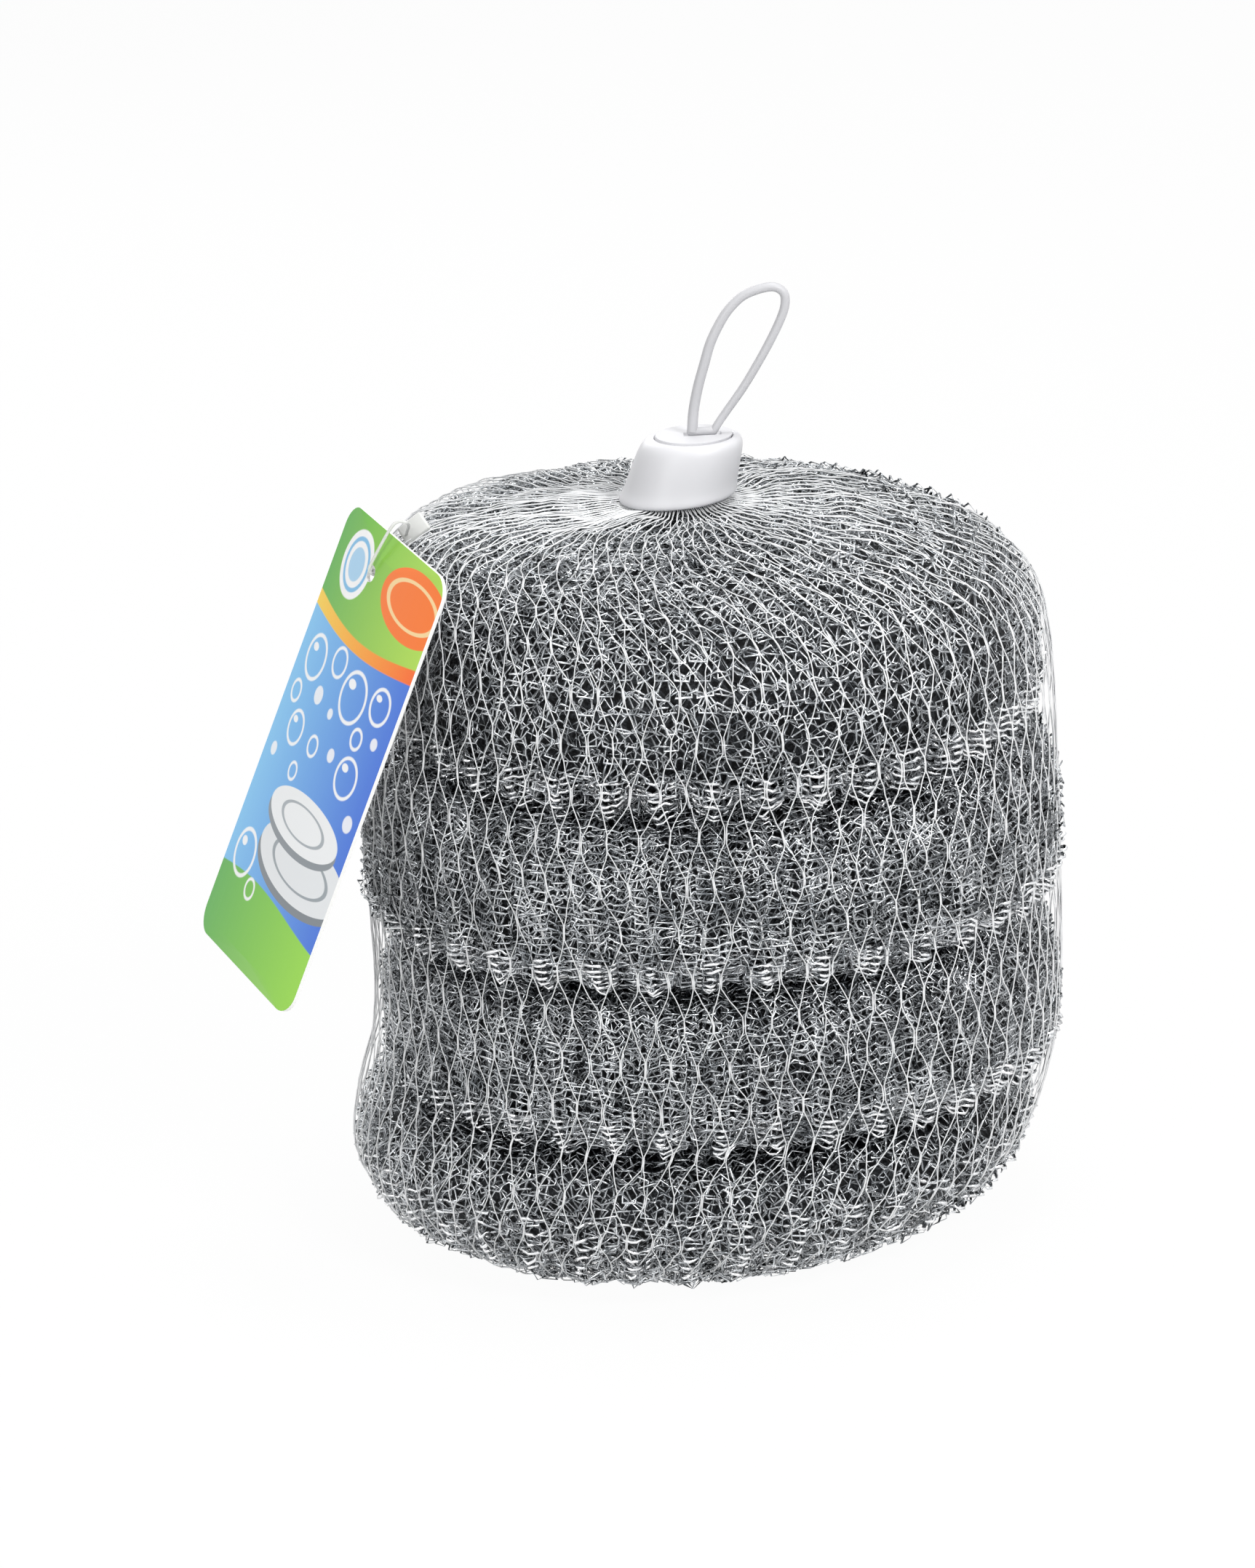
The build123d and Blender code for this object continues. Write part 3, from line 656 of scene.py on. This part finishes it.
hangLoop = {
    "across": 1.35, "deep": 1.5, "endScale": 0.76, "points": 90, "sides": 16, "lift": 102.9, "beadSides": 24,
    "beadRadius": 0.55, "beadEnds": (0.5, 4.4), "beadTip": ((0.4, 0), (0.8, 0.15), (1, 0.45)),
    "guide": (
        (1.2, 0, 103.0), (1.47, 0, 105.5), (2.14, 0, 108.5), (3.08, 0, 111.5), (4.1, 0, 114.5),
        (5.7, 0, 117.4), (7.1, 0, 119.1), (8.7, 0, 120.3), (11.0, 0, 121.0), (12.5, 0, 121.0),
        (13.5, 0, 120.2), (13.6, 0, 118.8), (13.0, 0, 117.0), (11.5, 0, 114.1), (9.7, 0, 111.1),
        (7.8, 0, 108.2), (5.6, 0, 105.3), (4.5, 0, 103.8), (4.0, 0, 103.0),
    ),
}
strap = grow("hangStrap", bentRod, hangLoop["guide"], {
    "Across": hangLoop["across"] * mm, "Deep": hangLoop["deep"] * mm, "End Scale": hangLoop["endScale"],
    "Points": hangLoop["points"], "Sides": hangLoop["sides"], "Material": thinPlastic,
})
radius, ends, sides = hangLoop["beadRadius"], hangLoop["beadEnds"], hangLoop["beadSides"]
bead = pin("hangBead", radius, ends, hangLoop["beadTip"], sides, thinPlastic)
bead.data.transform(Matrix.Translation((0, 0, hangLoop["lift"] * mm)) @ Matrix.Rotation(pi / 2, 4, "Y"))
dress(strap, "loop", "hang_loop")
dress(bead, "loop", "hang_loop")
print("clip and hang loop ready")

# Swing tag: coated card, offset printed, in a plain design of waves, bubbles and plates
card = {
    "width": 30.0, "length": 59.3, "thickness": 0.5, "corner": 3.0, "cornerSteps": 8, "bow": 0.7,
    "holeRadius": 1.1, "holeSides": 32, "holeFromSide": 12.0, "holeFromTop": 5.7,
    "across": (0.4044, -0.9062, -0.1234), "up": (0.3932, 0.0505, 0.918),
    # The mesh inside its outline: how far apart, and how far from the hole's middle in radii
    "grid": 2.0, "gridClear": 1.5, "holeTest": 0.97, "weldWithin": 1e-5,
    "sky": ("#7CC8F8", "#3F74DC"), "gloss": 0.28, "edge": 0.18,
    # Level of the edge, height of the wave, waves across, which side is inked, colours from left to right
    "waves": (
        (9.6, 1.3, 0.62, -1, "#4AAE34", "#9ADB45"), (45.4, -1.5, 0.5, 1, "#FFD52E", "#FF6A12"),
        (47.4, -1.9, 0.5, 1, "#4FB034", "#B4E04E"),
    ),
    # Middle from the lower left corner, half width, half height, share that stays open, colour, strength
    "discs": (
        (24.5, 53.6, 8.6, 4.6, 0, "#FF7A18", 1.0), (24.3, 53.7, 6.9, 3.1, 0.86, "#FFE3A6", 0.9),
        (7.4, 53.2, 4.6, 4.6, 0, "#FFFFFF", 1.0), (7.4, 53.2, 3.7, 3.7, 0.84, "#5FB7E8", 0.9),
        (7.4, 53.2, 2.3, 2.3, 0, "#8CCBF2", 0.8), (5.6, 39.8, 3.2, 3.2, 0.84, "#FFFFFF", 0.95),
        (12.4, 41.6, 2.2, 2.2, 0.8, "#FFFFFF", 0.95), (18.6, 39.2, 3.6, 3.6, 0.86, "#FFFFFF", 0.95),
        (25.4, 40.6, 2.6, 2.6, 0.82, "#FFFFFF", 0.95), (4.6, 40.9, 0.9, 0.6, 0, "#FFFFFF", 0.95),
        (17.4, 40.6, 1.1, 0.7, 0, "#FFFFFF", 0.95), (24.6, 41.5, 0.8, 0.5, 0, "#FFFFFF", 0.95),
        (10.0, 36.2, 1.3, 1.3, 0, "#FFFFFF", 0.85), (14.6, 35.4, 0.8, 0.8, 0, "#FFFFFF", 0.85),
        (22.8, 35.2, 1.6, 1.6, 0.72, "#FFFFFF", 0.95), (27.0, 36.2, 0.9, 0.9, 0, "#FFFFFF", 0.85),
        (3.4, 34.4, 1.7, 1.7, 0.74, "#FFFFFF", 0.95), (7.0, 30.6, 2.5, 2.5, 0.82, "#FFFFFF", 0.95),
        (13.2, 30.4, 1.6, 1.6, 0.74, "#FFFFFF", 0.95), (18.4, 31.2, 1.0, 1.0, 0, "#FFFFFF", 0.85),
        (23.6, 30.2, 2.9, 2.9, 0.84, "#FFFFFF", 0.95), (22.7, 31.3, 0.9, 0.6, 0, "#FFFFFF", 0.95),
        (6.2, 31.5, 0.8, 0.5, 0, "#FFFFFF", 0.95), (3.0, 26.2, 1.0, 1.0, 0, "#FFFFFF", 0.85),
        (10.4, 25.9, 1.4, 1.4, 0.72, "#FFFFFF", 0.95), (27.6, 25.6, 1.2, 1.2, 0, "#FFFFFF", 0.85),
        (20.6, 15.6, 12.4, 4.6, 0, "#7F868C", 1.0), (20.6, 16.5, 12.2, 4.5, 0, "#E9ECEE", 1.0),
        (20.6, 16.5, 8.2, 2.9, 0.9, "#9BA3A9", 1.0), (17.6, 20.6, 10.4, 3.6, 0, "#8B9298", 1.0),
        (17.6, 21.4, 10.2, 3.5, 0, "#F4F6F7", 1.0), (17.6, 21.4, 6.6, 2.2, 0.88, "#A9B0B6", 1.0),
        (5.6, 12.6, 3.4, 3.4, 0.84, "#FFFFFF", 0.95), (4.4, 13.8, 0.9, 0.7, 0, "#FFFFFF", 0.95),
        (10.4, 9.4, 1.6, 1.6, 0.74, "#FFFFFF", 0.95),
    ),
}
printedCard, nodes = newMaterial("coatedPrintedCard", card["sky"][1])
uv = addNode(nodes, "ShaderNodeUVMap", uv_map="print")
cardSize = (card["width"], card["length"], 1)
spot = addNode(nodes, "ShaderNodeVectorMath", {0: uv, 1: cardSize}, operation="MULTIPLY")
spotParts = addNode(nodes, "ShaderNodeSeparateXYZ", {"Vector": spot}).outputs
share = addNode(nodes, "ShaderNodeSeparateXYZ", {"Vector": uv}).outputs["X"]
left, right = card["sky"]
ink = addNode(nodes, "ShaderNodeMix", {
    "Factor": share, "A": linear(left), "B": linear(right),
}, data_type="RGBA")
for edgeLevel, swell, waves, side, left, right in card["waves"]:
    wave = addNode(nodes, "ShaderNodeMath", {0: share, 1: 2 * pi * waves}, operation="MULTIPLY")
    wave = addNode(nodes, "ShaderNodeMath", {0: wave}, operation="SINE")
    wave = addNode(nodes, "ShaderNodeMath", {0: wave, 1: swell, 2: edgeLevel}, operation="MULTIPLY_ADD")
    over = addNode(nodes, "ShaderNodeMath", {0: spotParts["Y"], 1: wave}, operation="SUBTRACT")
    inked = addNode(nodes, "ShaderNodeMapRange", {
        "Value": over, "From Min": -side * card["edge"] / 2, "From Max": side * card["edge"] / 2,
    })
    paint = addNode(nodes, "ShaderNodeMix", {
        "Factor": share, "A": linear(left), "B": linear(right),
    }, data_type="RGBA")
    ink = addNode(nodes, "ShaderNodeMix", {"Factor": inked, "A": ink, "B": paint}, data_type="RGBA")
for x, y, wide, high, inner, hexColor, strength in card["discs"]:
    apart = addNode(nodes, "ShaderNodeVectorMath", {0: spot, 1: (x, y, 0)}, operation="SUBTRACT")
    perReach = (1 / wide, 1 / high, 0)
    apart = addNode(nodes, "ShaderNodeVectorMath", {0: apart, 1: perReach}, operation="MULTIPLY")
    reach = addNode(nodes, "ShaderNodeVectorMath", {0: apart}, operation="LENGTH").outputs["Value"]
    soft = card["edge"] / wide
    inked = addNode(nodes, "ShaderNodeMapRange", {
        "Value": reach, "From Min": 1.0, "From Max": 1.0 - soft, "To Max": strength,
    })
    if inner:
        hollow = addNode(nodes, "ShaderNodeMapRange", {
            "Value": reach, "From Min": inner - soft, "From Max": inner,
        })
        inked = addNode(nodes, "ShaderNodeMath", {0: inked, 1: hollow}, operation="MULTIPLY")
    ink = addNode(nodes, "ShaderNodeMix", {
        "Factor": inked, "A": ink, "B": linear(hexColor),
    }, data_type="RGBA")
shine = addNode(nodes, "ShaderNodeBsdfPrincipled", {
    "Base Color": ink, "Roughness": card["gloss"], "IOR": 1.5,
})
addNode(nodes, "ShaderNodeOutputMaterial", {"Surface": shine})

# The card's bare side and its cut edge: bleached board, smooth and matt
cardBoard = plainMaterial("bleachedBoard", {"color": "#F1F1EF", "roughness": 0.6, "ior": 1.5, "clear": 0.0})

hinge = next(joint for joint in frame["joints"] if joint["name"] == "tag_swing")
hole = Vector(hinge["pos_m"]) / mm
across, up = Vector(card["across"]), Vector(card["up"])
front = across.cross(up).normalized()


def onCard(x, y, z):  # x across and y up from the middle of the hole, z in front of the card's middle layer
    return hole + across * x + up * y + front * z


left, right = -card["holeFromSide"], card["width"] - card["holeFromSide"]
top, bottom = card["holeFromTop"], card["holeFromTop"] - card["length"]
inset, holeRadius = card["corner"], card["holeRadius"]
flatPoints = []
cornerSpots = (
    (right - inset, top - inset), (left + inset, top - inset), (left + inset, bottom + inset),
    (right - inset, bottom + inset),
)
for quarter, (x, y) in enumerate(cornerSpots):
    for k in range(card["cornerSteps"] + 1):
        angle = pi / 2 * (quarter + k / card["cornerSteps"])
        flatPoints.append(Vector((x + inset * cos(angle), y + inset * sin(angle))))
rimCount = len(flatPoints)
for k in range(card["holeSides"]):
    angle = 2 * pi * k / card["holeSides"]
    flatPoints.append(Vector((holeRadius * cos(angle), holeRadius * sin(angle))))
rings = [list(range(rimCount)), list(range(rimCount, len(flatPoints)))]
for column in range(1, int(card["width"] / card["grid"])):
    for row in range(1, int(card["length"] / card["grid"])):
        spot = Vector((left + column * card["grid"], bottom + row * card["grid"]))
        if spot.length > holeRadius * card["gridClear"]:
            flatPoints.append(spot)
flatPoints, _, triangles, _, _, _ = delaunay_2d_cdt(flatPoints, [], rings, 1, card["weldWithin"])
outsideHole = holeRadius * card["holeTest"]
triangles = [t for t in triangles if sum((flatPoints[k] for k in t), Vector((0, 0))).length / 3 > outsideHole]
halfWide, halfThick, middle = card["width"] / 2, card["thickness"] / 2, (left + right) / 2
points = []
for z in (halfThick, -halfThick):
    for x, y in flatPoints:
        bent = card["bow"] * ((middle / halfWide) ** 2 - ((x - middle) / halfWide) ** 2)
        points.append(onCard(x, y, z + bent))
back = len(flatPoints)
faces = [tuple(t) for t in triangles] + [tuple(k + back for k in reversed(t)) for t in triangles]
for ring, outside in ((rings[0], True), (rings[1], False)):
    for a, b in zip(ring, ring[1:] + ring[:1]):
        faces.append((b, a, a + back, b + back) if outside else (a, b, b + back, a + back))
cardPiece = newPiece("swingTag", points, faces, printedCard)
cardPiece.data.materials.append(cardBoard)
cardPiece.data.shade_flat()
printed = cardPiece.data.uv_layers.new(name="print")
for polygon in cardPiece.data.polygons:
    polygon.material_index = 0 if polygon.index < len(triangles) else 1
    for loop in polygon.loop_indices:
        x, y = flatPoints[cardPiece.data.loops[loop].vertex_index % back]
        printed.data[loop].uv = ((x - left) / card["width"], (y - bottom) / card["length"])
dress(cardPiece, "tag", "tag_card")

# Its fastener: a bar behind the card, a thread over the edge, and a paddle that lies on the net
fastener = {
    "barRadius": 0.42, "barLength": 5.0, "barTip": ((0.5, 0), (0.9, 0.12), (1, 0.35)), "barSides": 16,
    "behind": -1.05,
    # The thread's way up the card and to its front, from the hole and from where it passes the edge
    "thread": 0.42, "threadPoints": 60, "threadSides": 10, "clear": 2.3,
    "fromHole": ((0, -1.05), (0, 0), (0.5, 0.76), (2.0, 0.95)),
    "overEdge": ((-1.2, 0.95), (0, 0.285), (-0.2, -1.05)),
    "slant": 0.3,  # across the card for each step up it
    "paddle": (-34.5, -3.6, 93.1), "paddleAlong": (0.80, 0, 0.60), "paddleTurn": 50,
    "paddleSizes": (3.8, 2.9, 0.75), "paddleEdge": 0.35, "edgeSteps": 3,
    "tail": (1.2, 0.1),  # where the thread meets the paddle: back along it and over it
}
alongPaddle = Vector(fastener["paddleAlong"])
# The paddle stands on its back edge and leans to the front
paddleTurn = Matrix.Rotation(radians(fastener["paddleTurn"]), 3, alongPaddle)
acrossPaddle = paddleTurn @ Vector((0, 1, 0))
overPaddle = alongPaddle.cross(acrossPaddle)
paddleSpot = Vector(fastener["paddle"])
edgeLevel = card["holeFromTop"] + fastener["clear"]
tailAlong, tailOver = fastener["tail"]
threadGuide = [onCard(fastener["slant"] * y, y, z) for y, z in fastener["fromHole"]]
threadGuide += [
    onCard(fastener["slant"] * (edgeLevel + y), edgeLevel + y, z) for y, z in fastener["overEdge"]
]
threadGuide += [paddleSpot - alongPaddle * tailAlong + overPaddle * tailOver, paddleSpot]
thread = grow("tagThread", bentRod, threadGuide, {
    "Across": fastener["thread"] * mm, "Deep": fastener["thread"] * mm, "End Scale": 1.0,
    "Points": fastener["threadPoints"], "Sides": fastener["threadSides"], "Material": clearNylon,
})
ends = (-fastener["barLength"] / 2, fastener["barLength"] / 2)
bar = pin("tagBar", fastener["barRadius"], ends, fastener["barTip"], fastener["barSides"], clearNylon)
turn = Matrix((front, up, -across)).transposed().to_4x4()
bar.data.transform(Matrix.Translation(onCard(0, 0, fastener["behind"]) * mm) @ turn)
turn = Matrix((alongPaddle, acrossPaddle, overPaddle)).transposed().to_4x4()
points = [
    [side * size / 2 for side, size in zip((x, y, z), fastener["paddleSizes"])]
    for z in (-1, 1) for y in (-1, 1) for x in (-1, 1)
]
faces = [(0, 2, 3, 1), (4, 5, 7, 6), (0, 1, 5, 4), (2, 6, 7, 3), (0, 4, 6, 2), (1, 3, 7, 5)]
paddle = newPiece("tagPaddle", points, faces, clearNylon)
paddle.data.transform(Matrix.Translation(paddleSpot * mm) @ turn)
bevel = paddle.modifiers.new("roundEdges", "BEVEL")
bevel.width, bevel.segments = fastener["paddleEdge"] * mm, fastener["edgeSteps"]
for piece in (thread, bar, paddle):
    dress(piece, "pack", "tag_fastener")
print("swing tag ready")
